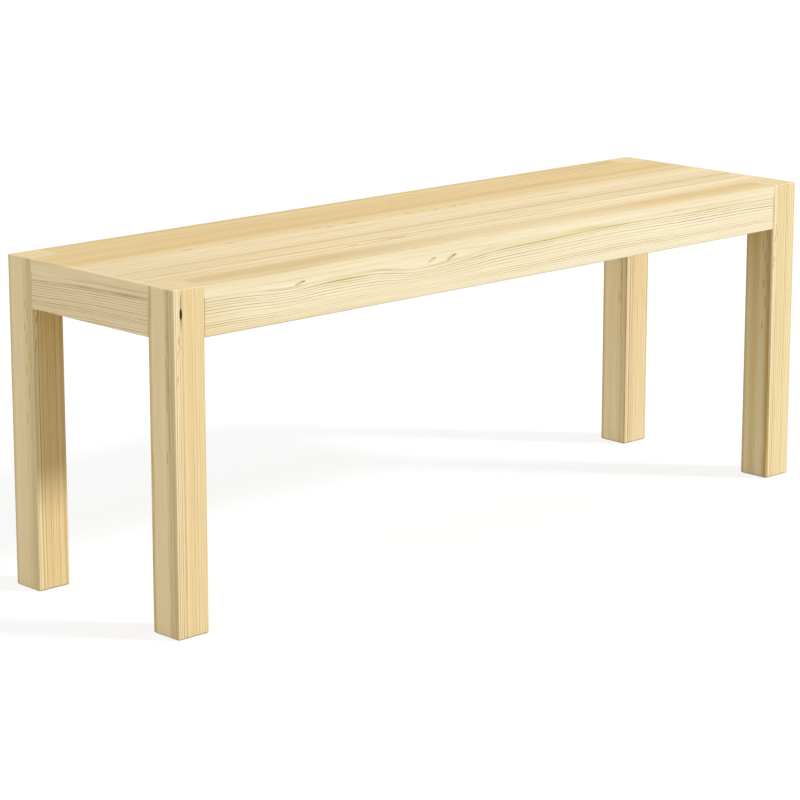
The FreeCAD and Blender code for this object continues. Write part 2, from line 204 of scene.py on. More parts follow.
def oval(tree, point, centre, reach, turn=NO_TURN):
    """The squared distance from an oval's middle, 1 on its edge. Its long axis may turn from the grain."""
    inside = add(tree, "Mapping", {"Vector": point, "Location": centre, "Rotation": turn, "Scale": reach},
                 vector_type="TEXTURE")[0]
    return add(tree, "VectorMath", {0: inside, 1: inside}, operation="DOT_PRODUCT")["Value"]


def soft_oval(tree, point, centre, reach):
    """A bell curve of the distance from the middle of an oval: 1 there, falling smoothly to 0."""
    square = oval(tree, point, centre, reach)
    return add(tree, "Math", {0: FALL, 1: square}, operation="POWER")[0]


def board_point(tree, grain):
    """The place in millimetres, along the grain and then across it, and its part along the grain."""
    place = add(tree, "TexCoord")["Object"]
    scaled = add(tree, "VectorMath", {0: place, 1: [1 / MM] * 3}, operation="MULTIPLY")[0]
    axes = add(tree, "SeparateXYZ", {0: scaled})
    along = axes[grain]
    first, second = [axes[axis] for axis in (X_AXIS, Y_AXIS, Z_AXIS) if axis != grain]
    return add(tree, "CombineXYZ", {0: along, 1: first, 2: second})[0], along


def wood_clouds(tree, point, seed):
    """Every kind of unevenness at a point, different for each board."""
    shift = [seed * step for step in BOARD_SHIFT]
    shifted = add(tree, "VectorMath", {0: point, 1: shift}, operation="ADD")[0]
    clouds = {}
    for label, (length, width, detail) in PINE_CLOUDS.items():
        stretch = (1 / length, 1 / width, 1 / width)
        stretched = add(tree, "VectorMath", {0: shifted, 1: stretch}, operation="MULTIPLY")[0]
        clouds[label] = add(tree, "TexNoise", {"Vector": stretched, "Scale": 1.0, "Detail": detail})
    return clouds


def bent_grain(tree, point, along, clouds, slope, wander, ripple, dips):
    """The point moved as the grain bends: a steady slope, slow and quick waves, and dips or rises."""
    fall = (0, -slope[0], -slope[1])
    bent = add(tree, "VectorMath", {0: along, 1: fall, 2: point}, operation="MULTIPLY_ADD")[0]
    for label, amount in (("wander", wander), ("ripple", ripple)):
        cloud = clouds[label]["Color"]
        swing = add(tree, "VectorMath", {0: cloud, 1: [NOISE_MIDDLE] * 3}, operation="SUBTRACT")[0]
        push = (0, amount / NOISE_SPREAD, amount / NOISE_SPREAD)
        bent = add(tree, "VectorMath", {0: swing, 1: push, 2: bent}, operation="MULTIPLY_ADD")[0]
    for centre, reach, push in dips:
        near = soft_oval(tree, point, centre, reach)
        bent = add(tree, "VectorMath", {0: near, 1: (0, *push), 2: bent}, operation="MULTIPLY_ADD")[0]
    return bent


def distance_from_pith(tree, bent, pith):
    """The distance from the pith, a line along the grain, which tells how old the tree was there."""
    from_pith = add(tree, "VectorMath", {0: bent, 1: (0, *pith)}, operation="SUBTRACT")[0]
    across = add(tree, "VectorMath", {0: from_pith, 1: (0, 1, 1)}, operation="MULTIPLY")[0]
    return add(tree, "VectorMath", {0: across}, operation="LENGTH")["Value"]


def growth_lines(tree, radius, ring, seed, line_from, uneven):
    """How dark each ring is, from 0 to 1: rings of uneven width and vigour darken and then end sharply."""
    count = add(tree, "Math", {0: radius, 1: 1 / ring}, operation="MULTIPLY")[0]
    slow_count = add(tree, "Math", {0: count, 1: CROWDING_RATE, 2: seed * CROWDING_SHIFT},
                     operation="MULTIPLY_ADD")[0]
    crowding = add(tree, "TexNoise", {"W": slow_count, "Scale": 1.0, "Detail": 1.0},
                   noise_dimensions="1D")[0]
    count = add(tree, "Math", {0: crowding, 1: uneven, 2: count}, operation="MULTIPLY_ADD")[0]
    phase = add(tree, "Math", {0: count}, operation="FRACT")[0]
    year = add(tree, "Math", {0: count}, operation="FLOOR")[0]
    year = add(tree, "Math", {0: year, 1: seed * YEAR_SHIFT}, operation="ADD")[0]
    chance = add(tree, "TexWhiteNoise", {"W": year}, noise_dimensions="1D")["Value"]
    vigour = add(tree, "MapRange", {"Value": chance, **RING_VIGOUR})[0]
    rise = add(tree, "MapRange", {"Value": phase, "From Min": line_from, "From Max": LINE_PEAK},
               interpolation_type="SMOOTHSTEP")[0]
    end = add(tree, "MapRange", {"Value": phase, **LINE_END}, interpolation_type="SMOOTHSTEP")[0]
    line = add(tree, "Math", {0: rise, 1: end}, operation="MULTIPLY")[0]
    return add(tree, "Math", {0: line, 1: vigour}, operation="MULTIPLY")[0]


def bold_lines(tree, radius, dark, bold_rings):
    """The lines with some rings made bolder, each given as a radius, a width and a strength."""
    for at_radius, width, amount in bold_rings:
        from_ring = {0: radius, 1: 1 / width, 2: -at_radius / width}
        ratio = add(tree, "Math", from_ring, operation="MULTIPLY_ADD")[0]
        square = add(tree, "Math", {0: ratio, 1: ratio}, operation="MULTIPLY")[0]
        near = add(tree, "Math", {0: FALL, 1: square}, operation="POWER")[0]
        dark = add(tree, "Math", {0: near, 1: amount, 2: dark}, operation="MULTIPLY_ADD")[0]
    return dark


def broken_lines(tree, bent, dark, clouds, streaks):
    """The lines as they fade, break and darken along the grain."""
    strength = add(tree, "MapRange", {"Value": clouds["fade"]["Fac"], **LINE_FADE})[0]
    gaps = add(tree, "MapRange", {"Value": clouds["dash"]["Fac"], **LINE_GAPS})[0]
    strength = add(tree, "Math", {0: strength, 1: gaps}, operation="MULTIPLY")[0]
    for centre, reach, amount in streaks:
        near = soft_oval(tree, bent, centre, reach)
        strength = add(tree, "Math", {0: near, 1: amount, 2: strength}, operation="MULTIPLY_ADD")[0]
    return add(tree, "Math", {0: dark, 1: strength}, operation="MULTIPLY", use_clamp=True)[0]


def sapwood_and_heart(tree, radius, clouds, pale, warm, warm_within, warm_edge):
    """Pale sapwood with warmer stripes, and a warm heart within a radius that has a soft edge."""
    stripes = add(tree, "MapRange", {"Value": clouds["blush"]["Fac"], **WARM_STRIPES},
                  interpolation_type="SMOOTHSTEP")[0]
    heart_edge = {"From Min": warm_within + warm_edge, "From Max": warm_within - warm_edge}
    heart = add(tree, "MapRange", {"Value": radius, **heart_edge}, interpolation_type="SMOOTHSTEP")[0]
    warmth = add(tree, "Math", {0: stripes, 1: STRIPE_SHARE, 2: heart}, operation="MULTIPLY_ADD",
                 use_clamp=True)[0]
    return add(tree, "Mix", {"Factor": warmth, "A": linear(pale), "B": linear(warm)},
               data_type="RGBA")["Result"]


def with_stains_and_light(tree, bent, colour, stains_and_light):
    """The wood with soft tints, its own and painted light and shade: each one's share is its amount times a
    bell curve, and 1 at most.
    """
    for centre, reach, tint, amount in stains_and_light:
        near = soft_oval(tree, bent, centre, reach)
        share = add(tree, "Math", {0: near, 1: amount}, operation="MULTIPLY")[0]
        colour = add(tree, "Mix", {"Factor": share, "A": colour, "B": linear(tint)},
                     data_type="RGBA")["Result"]
    return colour


def tinted_ends(tree, grain, colour, tint):
    """The wood with a tint on the faces that cut across the grain."""
    normal = add(tree, "NewGeometry")["Normal"]
    facing = add(tree, "SeparateXYZ", {0: normal})[grain]
    facing = add(tree, "Math", {0: facing}, operation="ABSOLUTE")[0]
    share = add(tree, "MapRange", {"Value": facing, **END_GRAIN})[0]
    return add(tree, "Mix", {"Factor": share, "A": colour, "B": linear(tint)}, data_type="RGBA")["Result"]


def spotted(tree, point, colour, height, spots):
    """The wood's colour and height with its knots, flecks and resin pockets."""
    for centre, reach, turn, tint in spots:
        square = oval(tree, point, centre, reach, turn)
        mask = add(tree, "MapRange", {"Value": square, **SPOT_EDGE}, interpolation_type="SMOOTHSTEP")[0]
        colour = add(tree, "Mix", {"Factor": mask, "A": colour, "B": linear(tint)},
                     data_type="RGBA")["Result"]
        height = add(tree, "Math", {0: mask, 1: SPOT_RELIEF, 2: height}, operation="MULTIPLY_ADD")[0]
    return colour, height


def pine(name, grain, pith, ring, pale, warm, line, seed, slope=(0, 0), wander=2.0, ripple=0.5,
         line_from=0.45, uneven=1.6, warm_within=0.0, warm_edge=4.0, dips=(), bold_rings=(), streaks=(),
         stains_and_light=(), spots=(), end_tint=None):
    """Planed, unfinished pine: matt and pale, with a thin darker line where each growth ring ends.

    The rings are tubes about the pith, a line along the grain that may lie outside the board, so every face
    and every end of the board shows the same wood. Places are given along the grain first, then across it.
    Each mark in the wood is a row of values:
    dips, which bend the grain: centre, reach and push across the grain
    bold rings, which darken one line: radius, width and strength
    streaks, which strengthen or weaken the lines: centre, reach and amount
    stains_and_light, which tint the wood, and on some boards paint light and shade: centre, reach, tint and
    amount spots, which are knots, flecks and resin pockets: centre, reach, turn and tint
    Streaks and stains_and_light are soft and follow the bent grain. Spots have an edge and stay where they
    are put.
    """
    material, tree, shader = new_material(name)
    point, along = board_point(tree, grain)
    clouds = wood_clouds(tree, point, seed)
    bent = bent_grain(tree, point, along, clouds, slope, wander, ripple, dips)
    radius = distance_from_pith(tree, bent, pith)

    dark = growth_lines(tree, radius, ring, seed, line_from, uneven)
    dark = bold_lines(tree, radius, dark, bold_rings)
    dark = broken_lines(tree, bent, dark, clouds, streaks)

    colour = sapwood_and_heart(tree, radius, clouds, pale, warm, warm_within, warm_edge)
    colour = with_stains_and_light(tree, bent, colour, stains_and_light)
    if end_tint:
        colour = tinted_ends(tree, grain, colour, end_tint)
    colour = add(tree, "Mix", {"Factor": dark, "A": colour, "B": linear(line)}, data_type="RGBA")["Result"]
    fibre = add(tree, "MapRange", {"Value": clouds["fibre"]["Fac"], **FIBRE_SHADE})[0]
    colour = add(tree, "VectorMath", {0: colour, 1: fibre}, operation="MULTIPLY")[0]

    height = add(tree, "Math", {0: dark, 1: LINE_RELIEF, 2: fibre}, operation="MULTIPLY_ADD")[0]
    colour, height = spotted(tree, point, colour, height, spots)
    bump = add(tree, "Bump", {"Height": height, "Strength": BUMP_STRENGTH, "Distance": BUMP_DEPTH * MM})[0]
    roughness = add(tree, "MapRange", {"Value": dark, **PINE_ROUGHNESS})[0]

    tree.links.new(colour, shader.inputs["Base Color"])
    tree.links.new(roughness, shader.inputs["Roughness"])
    tree.links.new(bump, shader.inputs["Normal"])
    shader.inputs["Specular IOR Level"].default_value = PINE_SPECULAR
    return material


def dress(node, material):
    """Give a CAD node its material."""
    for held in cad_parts[node].material_slots:
        held.material = material


# Legs

# The pith lies to the right of each leg, so its left face is plain in the middle and its front is striped
LEG_PITH = (78.0, 29.0)        # from the leg's left face and from its front face
LEG_CORNERS = {"front_left": (LEFT, FRONT),
               "front_right": (RIGHT - LEG_WIDTH, FRONT),
               "back_left": (LEFT, BACK - LEG_WIDTH),
               "back_right": (RIGHT - LEG_WIDTH, BACK - LEG_WIDTH)}
# Colours of each leg: pale wood, warm wood and the plain middle of its left face. Then how clear these are:
# the pale strip down its front face, and the olive front and back edges of its left face. On the front
# right leg the paler wood is painted light, and the darker left face is painted shade from the seat.
LEG_TONES_AND_LIGHT = {"front_left": ("F6E7C6", "F0DAAB", "F0DAAE", 0.95, 1.0, 0.3),
             # Front right: paler wood is painted light; its darker plain left face and, in part, its olive
             # edges are painted shade
             "front_right": ("FDF2D1", "F8E5B7", "DEC68A", 0.9, 0.64, 0.65),
             "back_left": ("F7E7C2", "EED7A4", "F0DCB3", 0.35, 0.78, 0.6),
             "back_right": ("FDEFCF", "F7E3B7", "F3DEA8", 0.9, 0.55, 0.5)}
# Flecks on the front and left faces: how far below the top, how far in from the front left edge, and length
LEG_FLECKS = [(64, 8.0, 6), (73, 10.0, 5), (81, 6.5, 6), (112, 5.5, 6), (122, 4.0, 5)]
LEG_SIDE_FLECKS = [(62, 15, 6), (74, 11, 8), (92, 17, 7), (108, 13, 9), (127, 9, 8), (150, 15, 8),
                   (178, 11, 10), (215, 16, 9)]
FLECK_TURN = (0, 0, 0.12)
RESIN_POCKET = ((HEIGHT - 31, LEFT + 12, FRONT), (8.6, 2.2, 3.0), NO_TURN, "1E0F04")
RESIN_THREAD = ((HEIGHT - 29, LEFT + 12, FRONT), (27.0, 0.8, 2.0), NO_TURN, "8A6A3A")
TINT_STAND_OFF = 2.0           # how far a leg's tints are centred off the face that they colour


def leg_stains_and_shade(left, front, plain, strip, front_olive, back_olive):
    """A leg's tints, with painted shade in some: its left face is plain with olive edges, its front has a
    pale strip and warm lines.
    """
    side = left - TINT_STAND_OFF
    face = front - TINT_STAND_OFF
    return [((0, side, front + 31), (FULL, 5, 11), plain, 0.8),
            ((0, side, front + 5.5), (FULL, 4, 9), "CDB47A", 0.85 * front_olive),
            ((0, side, front + 17), (FULL, 4, 1.2), "A98E55", 0.25 * front_olive),
            ((0, side, front + 4), (FULL, 4, 2.2), "AE9459", 0.4 * front_olive),
            ((0, side, front + 48), (FULL, 4, 3), "C9B078", back_olive),
            ((HEIGHT, left + 4.5, face), (HEIGHT, 5, 5), "FCF0D0", strip),
            ((HEIGHT, left + 13.5, face), (330, 1.2, 6), "D9BE82", 0.45),
            ((HEIGHT - 130, left + 24, face), (150, 10, 6), "E9CF8F", 0.15)]


def leg_flecks(left, front):
    """Small flecks near the front left edge of a leg, on its front face and on its left face."""
    on_front = [((HEIGHT - below, left + inset, front), (length, 1.0, 2.0), FLECK_TURN, "D2B67C")
                for below, inset, length in LEG_FLECKS]
    on_side = [((HEIGHT - below, left, front + inset), (length, 2.0, 0.9), NO_TURN, "C4AA72")
               for below, inset, length in LEG_SIDE_FLECKS]
    return on_front + on_side


for seed, (corner, (left, front)) in enumerate(LEG_CORNERS.items(), start=1):
    pale, warm, *tints = LEG_TONES_AND_LIGHT[corner]
    leg_streaks = [((40, left + 7, front), (230, 9, 6), 1.0),
                   ((0, left - 1, front + 30), (FULL, 4, 13), -0.8)]
    leg_spots = leg_flecks(left, front)
    if corner == "front_left":
        leg_spots += [RESIN_THREAD, RESIN_POCKET]
    dress("leg_" + corner, pine(
        "planed_pine_leg_" + corner, Z_AXIS, (left + LEG_PITH[0], front + LEG_PITH[1]), ring=3.4,
        pale=pale, warm=warm, line="C6A667", seed=seed, wander=0.4, ripple=0.4, uneven=2.6, warm_within=76,
        streaks=leg_streaks, stains_and_light=leg_stains_and_shade(left, front, *tints), spots=leg_spots, end_tint="DCC79B"))


# Rails

# The front rail's pith runs behind its face, above its top edge, and its lines dip below three small knots
MAIN_LINE = RAIL_BOTTOM + 44.5  # the boldest line, before it dips
KNOT_LINE = RAIL_BOTTOM + 49.5  # the line that runs into the knots
FRONT_RAIL_DIPS = [((place, FRONT, RAIL_BOTTOM + 44), (length, 60, height), (0, amount))
                   for place, length, height, amount in (
                       (-412, 58, 30, 5.6), (-310, 60, 30, 1.8), (-180, 62, 30, 11.2), (-100, 50, 30, 4.4),
                       (200, 130, 60, -4.6), (470, 160, 60, -4.0))]
FRONT_RAIL_STREAKS = [((place, FRONT, height), (length, RAIL_THICKNESS, 3.0), amount)
                      for place, height, length, amount in (
                          (-317, MAIN_LINE, 42, 0.6), (40, MAIN_LINE, 60, 0.1), (200, MAIN_LINE, 45, 0.4),
                          (405, MAIN_LINE, 45, 0.1), (30, RAIL_BOTTOM + 37, 90, -0.5),
                          (-415, KNOT_LINE, 28, 1.2), (-245, KNOT_LINE, 32, 1.2),
                          (-150, KNOT_LINE, 26, 1.2), (-522, RAIL_BOTTOM + 13.5, 32, 1.2))]
FRONT_RAIL_STAINS_AND_LIGHT = [((place, FRONT, MAIN_LINE), (length, 10, thickness), "DFCB80", 0.7)
                     for place, length, thickness in (
                         (-317, 40, 2.6), (75, 130, 3.0), (200, 35, 3.0), (410, 48, 4.0))]
# The first of these, pale over the right third of the rail, is painted light, brighter towards the right
FRONT_RAIL_STAINS_AND_LIGHT += [((420, FRONT, RAIL_BOTTOM + 26), (300, RAIL_THICKNESS, 60), "FEF4DA", 0.6),
                      ((-560, FRONT, RAIL_BOTTOM + 2), (380, RAIL_THICKNESS, 7), "E4D2A6", 0.65),
                      ((-560, FRONT, RAIL_BOTTOM + 31), (60, RAIL_THICKNESS, 60), "E8D4A5", 0.5)]
# Each knot is a pale body with a dark tip
FRONT_RAIL_KNOTS = [((place, FRONT, RAIL_BOTTOM + height), (length, 5.0, thickness), (0, lean, 0), tint)
                    for place, height, length, thickness, lean, tint in (
                        (-393, 47.5, 9.0, 2.1, -0.24, "DCCB95"), (-386, 49.0, 4.0, 1.6, -0.24, "BCA768"),
                        (-158, 47.0, 8.5, 2.0, -0.36, "E0D09C"), (-153, 49.0, 4.0, 1.5, -0.36, "C6B47A"),
                        (-122, 46.0, 10.5, 2.7, -0.42, "DBC98E"), (-116, 48.8, 5.0, 2.0, -0.42, "BCA766"))]
dress("rail_front", pine(
    "planed_pine_front_rail", X_AXIS, (FRONT + 14, RAIL_BOTTOM + 57.5), ring=3.2, pale="FAEFD2",
    warm="F6E7C4", line="BA9E62", seed=11, wander=0.12, ripple=0.15, line_from=0.6, dips=FRONT_RAIL_DIPS,
    bold_rings=[(19.1, 0.5, 0.24), (15.9, 0.4, 0.26)], streaks=FRONT_RAIL_STREAKS,
    stains_and_light=FRONT_RAIL_STAINS_AND_LIGHT, spots=FRONT_RAIL_KNOTS))
dress("rail_back", pine(
    "planed_pine_back_rail", X_AXIS, (BACK - 30, RAIL_BOTTOM + 18), ring=2.8, pale="F6E5BE", warm="F0DAA8",
    line="D3B87E", seed=12))


def lip_tones(end):
    """The lip along the top of an end rail: as warm as the staves beside it, and darker at the back."""
    return [((0, end, HEIGHT + 1), (FULL, RAIL_THICKNESS, 1.9), NO_TURN, "E6D1A4"),
            ((85, end, HEIGHT + 1), (60, RAIL_THICKNESS, 1.9), NO_TURN, "DCC18C")]


END_RAIL_STAINS = [((-80, LEFT, RAIL_BOTTOM + 43.6), (32, RAIL_THICKNESS, 2.4), "D8BB78", 0.8),
                   ((5, LEFT, RAIL_BOTTOM + 43.4), (24, RAIL_THICKNESS, 2.2), "D2C183", 0.6)]
END_RAIL_STREAKS = [((-75, LEFT, RAIL_BOTTOM + 43), (55, RAIL_THICKNESS, 5), 0.3),
                    ((75, LEFT, RAIL_BOTTOM + 56), (80, RAIL_THICKNESS, 9), -0.6)]
dress("rail_left_end", pine(
    "planed_pine_left_end_rail", Y_AXIS, (LEFT + 28, RAIL_BOTTOM + 59), ring=2.4, pale="F6E5C1",
    warm="F0DCB2", line="987C42", seed=13, slope=(0, -0.0377), wander=0.15, ripple=0.2, line_from=0.55,
    dips=[((0, LEFT, RAIL_BOTTOM + 44), (70, 60, 60), (0, -1.6))], bold_rings=[(32.2, 0.5, 0.45)],
    streaks=END_RAIL_STREAKS, stains_and_light=END_RAIL_STAINS, spots=lip_tones(LEFT)))
dress("rail_right_end", pine(
    "planed_pine_right_end_rail", Y_AXIS, (RIGHT - 26, RAIL_BOTTOM + 26), ring=2.8, pale="F4E2BA",
    warm="EDD7A6", line="D0B278", seed=14, wander=1.5, spots=lip_tones(RIGHT)))


# Seat staves, front to back: each is a different board, so their tones differ

# Warm along the top and deeper towards both ends, a pale and a yellow stretch on the face, and a dark
# arris:
# painted shade, which keeps the rounded edge from catching the light
FRONT_STAVE_STAINS_AND_SHADE = [((0, FRONT + 7, HEIGHT + 2), (FULL, 8, 2.2), "E9D3A3", 1.7),
                      ((-420, FRONT + 32, HEIGHT + 6), (280, 22, 6), "D4BB88", 3.5),
                      ((440, FRONT + 32, HEIGHT + 6), (230, 22, 6), "DEC18B", 2.8),
                      ((-420, FRONT + 4, HEIGHT + 2), (230, 7, 2.2), "D9C292", 1.7),
                      ((-270, FRONT - 1, HEIGHT - 7), (150, 3, 6), "FEF4D8", 0.6),
                      ((145, FRONT, SEAT_UNDERSIDE + 1), (55, 4, 3), "E0CC88", 0.7),
                      # These last two are painted shade along the arris, deeper at the left
                      ((0, FRONT, HEIGHT + 0.5), (FULL, 4, 1.4), "CDB684", 0.55),
                      ((-430, FRONT, HEIGHT + 0.5), (200, 4, 1.4), "C4AB78", 0.6)]
dress("seat_edge_stave_front", pine(
    "planed_pine_front_edge_stave", X_AXIS, (FRONT + 35, HEIGHT - 28), ring=2.6, pale="FCF2D5",
    warm="E6D2A9", line="D3B67C", seed=21, wander=0.3, ripple=0.3, warm_within=34.4, warm_edge=1.2,
    streaks=[((0, FRONT - 2, HEIGHT - 8), (FULL, 5, 30), -0.6)], stains_and_light=FRONT_STAVE_STAINS_AND_SHADE))

# Darker along the back edge and at the left end, where a thin dark line runs, and paler in front
STAVE_1_STAINS = [((0, -38, HEIGHT), (FULL, 15, 10), "D3BB85", 0.75),
                  ((250, -102, HEIGHT), (450, 9, 8), "F7E8C4", 0.9),
                  ((-350, -84, HEIGHT), (250, 2, 8), "CDB27A", 0.6),
                  ((0, -82, HEIGHT), (200, 12, 8), "F6E6C2", 0.6),
                  ((LEFT, -80, HEIGHT), (220, 60, 10), "DAC59D", 0.6)]
STAVE_1_FLECKS = [((place, -95, HEIGHT), (length, 2.0, 4.0), NO_TURN, "C8AA74")
                  for place, length in ((-230, 13), (-158, 9), (-143, 12))]
dress("seat_wide_stave_1", pine(
    "planed_pine_wide_stave_1", X_AXIS, (-90, HEIGHT - 40), ring=3.4, pale="F0DDB3", warm="E7CF9E",
    line="C4A46A", seed=23, stains_and_light=STAVE_1_STAINS, spots=STAVE_1_FLECKS))

# Darker along the back edge, where a row of flecks runs, and at the left end
STAVE_2_STAINS = [((0, 38, HEIGHT), (FULL, 15, 10), "E3CA96", 0.85),
                  ((LEFT, 0, HEIGHT), (220, 60, 10), "DAC69F", 0.55)]
STAVE_2_FLECKS = [((place, across, HEIGHT), (length, 1.8, 4.0), NO_TURN, tint)
                  for place, across, length, tint in (
                      (-533, 33, 7, "C9A972"), (-411, 31, 10, "C9A972"), (-340, 29, 8, "C9A972"),
                      (-178, 36, 12, "B89660"), (-158, 30, 10, "B89660"), (-117, 31, 13, "B18F58"),
                      (-5, 34, 9, "C0A068"), (20, 32, 10, "C0A068"), (43, 30, 6, "C9A972"),
                      (80, 32, 9, "C0A068"), (104, 34, 11, "C9A972"))]
dress("seat_wide_stave_2", pine(
    "planed_pine_wide_stave_2", X_AXIS, (5, HEIGHT - 55), ring=3.4, pale="EEDBB4", warm="E9D2A7",
    line="C5A66C", seed=24, streaks=[((0, 10, HEIGHT), (FULL, 9, 20), -0.6)], stains_and_light=STAVE_2_STAINS,
    spots=STAVE_2_FLECKS))

# Paler along the front edge and at the back right, with a dark line between
STAVE_3_STAINS = [((0, 43, HEIGHT), (FULL, 9, 10), "EBD4A2", 0.8),
                  ((0, 66, HEIGHT), (FULL, 4, 8), "D2B57A", 0.7),
                  ((350, 108, HEIGHT), (350, 24, 10), "E8CC98", 0.6)]
dress("seat_wide_stave_3", pine(
    "planed_pine_wide_stave_3", X_AXIS, (75, HEIGHT - 45), ring=3.2, pale="E0C590", warm="D7BA80",
    line="BB9958", seed=25, slope=(0.017, 0), stains_and_light=STAVE_3_STAINS))

# A paler and a darker band on the top, and a pale back face
BACK_STAVE_STAINS = [((180, 132, HEIGHT), (450, 11, 10), "E9CE9B", 0.65),
                     ((-380, 158, HEIGHT), (350, 11, 10), "D4BA88", 0.65),
                     ((0, BACK + 1.5, HEIGHT - 8), (FULL, 3.5, 40), "F5E4BD", 1.0)]
dress("seat_edge_stave_back", pine(
    "planed_pine_back_edge_stave", X_AXIS, (150, HEIGHT - 60), ring=2.8, pale="DFC794", warm="D8BE87",
    line="BFA165", seed=27, stains_and_light=BACK_STAVE_STAINS))


# Battens, bearers and corner blocks, sawn from offcuts and planed

for seed, (side, way) in enumerate({"front": -1, "back": 1}.items(), start=31):
    dress("batten_" + side, pine(
        "planed_pine_batten_" + side, X_AXIS, (way * 160, SEAT_UNDERSIDE - 54), ring=2.6, pale="F2DDB0",
        warm="EBD29E", line="D2B278", seed=seed))
for seed, (side, place) in enumerate(zip(("left", "middle", "right"), BEARER_PLACES), start=34):
    dress("bearer_" + side, pine(
        "planed_pine_bearer_" + side, Y_AXIS, (place + 12, SEAT_UNDERSIDE - 44), ring=3.0, pale="F1DBAD",
        warm="EAD09B", line="D0AF74", seed=seed))
for seed, (corner, (left, front)) in enumerate(LEG_CORNERS.items(), start=38):
    dress("corner_block_" + corner, pine(
        "planed_pine_corner_block_" + corner, Z_AXIS, (left + 25, front + 60), ring=2.8, pale="F0DAAC",
        warm="E9CE98", line="CEAC70", seed=seed))


# Zinc-plated steel

ZINC_CLOUD = 2.5
ZINC_GRIT = 0.4
ZINC_MARK_DEPTH = 0.02
ZINC_MARK_STRENGTH = 0.3
ZINC_ROUGHNESS = {"From Min": 0.3, "From Max": 0.7, "To Min": 0.24, "To Max": 0.42}


def zinc_plated_steel():
    """Bright zinc on steel: a cool grey metal, slightly cloudy, with faint marks from tumbling."""
    material, tree, shader = new_material("bright_zinc_plated_steel")
    place = add(tree, "TexCoord")["Object"]
    cloud = add(tree, "TexNoise", {"Vector": place, "Scale": 1 / (ZINC_CLOUD * MM), "Detail": 3.0})[0]
    grit = add(tree, "TexNoise", {"Vector": place, "Scale": 1 / (ZINC_GRIT * MM), "Detail": 2.0})[0]
    colour = add(tree, "Mix", {"Factor": cloud, "A": linear("C3C6C8"), "B": linear("DADBD6")},
                 data_type="RGBA")["Result"]
    roughness = add(tree, "MapRange", {"Value": cloud, **ZINC_ROUGHNESS})[0]
    bump = add(tree, "Bump", {"Height": grit, "Strength": ZINC_MARK_STRENGTH,
                              "Distance": ZINC_MARK_DEPTH * MM})[0]
    tree.links.new(colour, shader.inputs["Base Color"])
    tree.links.new(roughness, shader.inputs["Roughness"])
    tree.links.new(bump, shader.inputs["Normal"])
    shader.inputs["Metallic"].default_value = 1.0
    return material


ZINC = zinc_plated_steel()


# Screws, bolts, nuts and washers

def ring_faces(rows, columns, closed):
    """The four-sided faces between neighbouring rings of points, and from last to first if closed."""
    index = np.arange(rows * columns).reshape(rows, columns)
    upper = np.roll(index, -1, axis=0)
    if not closed:
        index, upper = index[:-1], upper[:-1]
    faces = np.stack([index, np.roll(index, -1, axis=1), np.roll(upper, -1, axis=1), upper], axis=-1)
    return faces.reshape(-1, 4)


def turned_to(direction):
    """The shortest turn that takes +Z to a direction: one plus the cross matrix plus its square, scaled."""
    way = np.asarray(direction, float) / np.linalg.norm(direction)
    turn = np.cross((0, 0, 1), way)
    cross = np.cross(np.eye(3), turn)
    return np.eye(3) + cross + cross @ cross / (1 + way[2])


def join_tips(mesh):
    """Join into one the points of each ring that has shrunk to nothing, at a tip or in a face's middle."""
    joined = bmesh.new()
    joined.from_mesh(mesh)
    bmesh.ops.remove_doubles(joined, verts=joined.verts, dist=SAME_PLACE)
    joined.to_mesh(mesh)
    joined.free()


def fastener(name, rings, places, node, closed=False):
    """One piece from copies of a ring surface made along +Z, each set at a start and along a direction."""
    rows, columns = rings.shape[:2]
    faces = ring_faces(rows, columns, closed)
    points = []
    for start, direction in places:
        points.append(rings.reshape(-1, 3) @ turned_to(direction).T + np.asarray(start, float))
    all_faces = np.concatenate([faces + number * rows * columns for number in range(len(places))])
    mesh = bpy.data.meshes.new(name)
    mesh.from_pydata(np.concatenate(points) * MM, [], all_faces.tolist())
    join_tips(mesh)
    mesh.shade_smooth()
    mesh.set_sharp_from_angle(angle=SHARP_EDGE)
    mesh.materials.append(ZINC)
    piece = bpy.data.objects.new(name, mesh)
    bpy.context.scene.collection.objects.link(piece)
    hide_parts(node)
    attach(piece, "root")


def round_rings(radii, heights, turns):
    """Points on rings about Z: a radius and a height for each ring and angle, as x, y and z."""
    radii, heights, turns = np.broadcast_arrays(radii, heights, turns)
    return np.stack([radii * np.cos(turns), radii * np.sin(turns), heights], axis=-1)


def around(sides):
    """Equal angles once around, as one row."""
    return np.linspace(0, 2 * math.pi, sides, endpoint=False)[None, :]


def saw(height, turns, pitch):
    """A thread's ridge: 1 on the line that climbs one pitch each turn, down to 0 midway between turns."""
    step = (height / pitch - turns / (2 * math.pi)) % 1.0
    return np.abs(2 * step - 1)


def wood_screw(length):
    """A countersunk screw along +Z. Its flat head sinks in a cross, its cone narrows to the core, and a
    thread, taller than the core by a saw wave along the helix, dies out towards the point."""
    turns = around(SCREW_SIDES)
    face = np.linspace(0.0, SCREW_HEAD_RADIUS, SCREW_HEAD_RINGS)[:, None]
    x = np.abs(face * np.cos(turns))
    y = np.abs(face * np.sin(turns))
    in_arm = np.minimum(x, y) < CROSS_HALF_WIDTH
    reach = np.clip((CROSS_ARM - np.maximum(x, y)) / CROSS_ARM, 0, 1)
    recess = np.where(in_arm, CROSS_DEPTH * np.sqrt(reach), 0.0)
    head = round_rings(face, recess, turns)
    level = np.linspace(SCREW_HEAD_HEIGHT, length, int(length / SCREW_PITCH * RINGS_PER_TURN))[:, None]
    taper = np.clip((length - level) / SCREW_POINT, 0, 1)
    start = np.clip((level - SCREW_HEAD_HEIGHT) / SCREW_RUN_IN, 0, 1)
    ridge = saw(level, turns, SCREW_PITCH) ** 2 * (SCREW_RADIUS - SCREW_CORE) * start
    shank = round_rings((SCREW_CORE + ridge) * taper, level, turns)
    return np.concatenate([head, shank])


